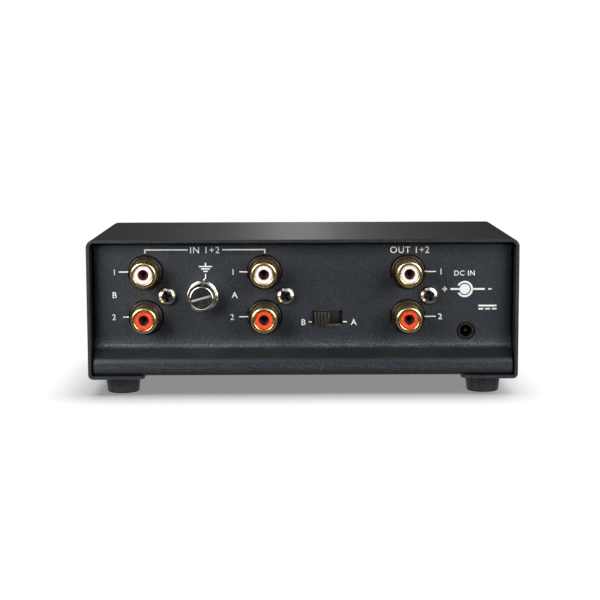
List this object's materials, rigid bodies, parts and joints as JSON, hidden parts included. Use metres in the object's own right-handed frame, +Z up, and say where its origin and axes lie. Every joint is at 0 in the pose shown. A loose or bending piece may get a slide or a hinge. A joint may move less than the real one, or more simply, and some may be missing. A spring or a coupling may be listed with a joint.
{
  "type": "phono preamp",
  "caption": "Small folded-steel phono preamp on rubber feet, with a recessed connector panel of stacked phono jacks, an earth thumb screw, a slide switch and a low-voltage socket.",
  "frame": {"origin": "on the surface under the feet, below the middle of the case with its jacks", "axes": "+X along the connector side, +Y from the connectors to the fascia, +Z up"},
  "size_m": [0.135, 0.0754, 0.0493],
  "materials": {
    "case_coat": "satin speckled powder coat",
    "fascia_coat": "satin speckled powder coat",
    "foot_rubber": "matt",
    "dark_nickel": "bright dark plating",
    "bright_nickel": "polished plating",
    "zinc_steel": "zinc plated",
    "tinned_brass": "tinned",
    "spring_bronze": "bare spring bronze",
    "gold_plate": "polished gold plating",
    "board_laminate": "solder-masked glass epoxy",
    "phenolic_board": "phenolic paper laminate",
    "jack_moulding": "moulded, semi-gloss",
    "switch_plastic": "moulded, matt",
    "white_insert": "moulded, glossy",
    "red_insert": "moulded, glossy",
    "lamp_epoxy": "tinted clear epoxy",
    "film_case": "moulded box",
    "capacitor_sleeve": "shrunk sleeve",
    "chip_epoxy": "moulded epoxy",
    "chip_ceramic": "thick-film chip"
  },
  "bodies": {
    "case": {"amplifier_chips": "chip_epoxy", "board_screws": "zinc_steel", "board_standoffs": "zinc_steel", "can_capacitors": "capacitor_sleeve", "chassis_tray": "case_coat", "circuit_board": "board_laminate", "diodes": "chip_epoxy", "fascia_screws": "zinc_steel", "film_capacitors": "film_case", "foot_screws": "dark_nickel", "front_fascia": "fascia_coat", "ground_bush": "bright_nickel", "ground_lug": "tinned_brass", "ground_nut": "bright_nickel", "jack_contacts": "spring_bronze", "jack_housings": "jack_moulding", "jack_inserts_red": "red_insert", "jack_inserts_white": "white_insert", "jack_screws": "dark_nickel", "jack_shells": "gold_plate", "jack_straps": "tinned_brass", "outer_cover": "case_coat", "power_lamp": "lamp_epoxy", "regulators": "chip_epoxy", "resistors": "chip_ceramic", "rubber_feet": "foot_rubber", "socket_housing": "jack_moulding", "socket_pin": "tinned_brass", "socket_spring": "spring_bronze", "switch_can": "zinc_steel", "switch_terminals": "tinned_brass", "switch_wafer": "phenolic_board", "transistors": "chip_epoxy", "tray_nuts": "zinc_steel"},
    "switch_knob": {"switch_slider": "switch_plastic", "switch_wipers": "spring_bronze"},
    "earth_washer": {"ground_washer": "bright_nickel"},
    "earth_screw": {"ground_screw": "bright_nickel"}
  },
  "joints": [
    {"name": "switch_slide", "type": "slide", "parent": "case", "child": "switch_knob", "axis": [1, 0, 0], "range_m": [0, 0.0036]},
    {"name": "earth_lift", "type": "slide", "parent": "case", "child": "earth_washer", "axis": [0, -1, 0], "range_m": [0, 0.00263]},
    {"name": "earth_turn", "type": "hinge", "parent": "earth_washer", "child": "earth_screw", "pos_m": [-0.0316, -0.02875, 0.0311], "axis": [0, -1, 0], "range_deg": [0, 1350.01]}
  ],
  "couplings": [
    {"joint": "earth_turn", "follows": "earth_lift", "rad_per_m": 8976}
  ]
}
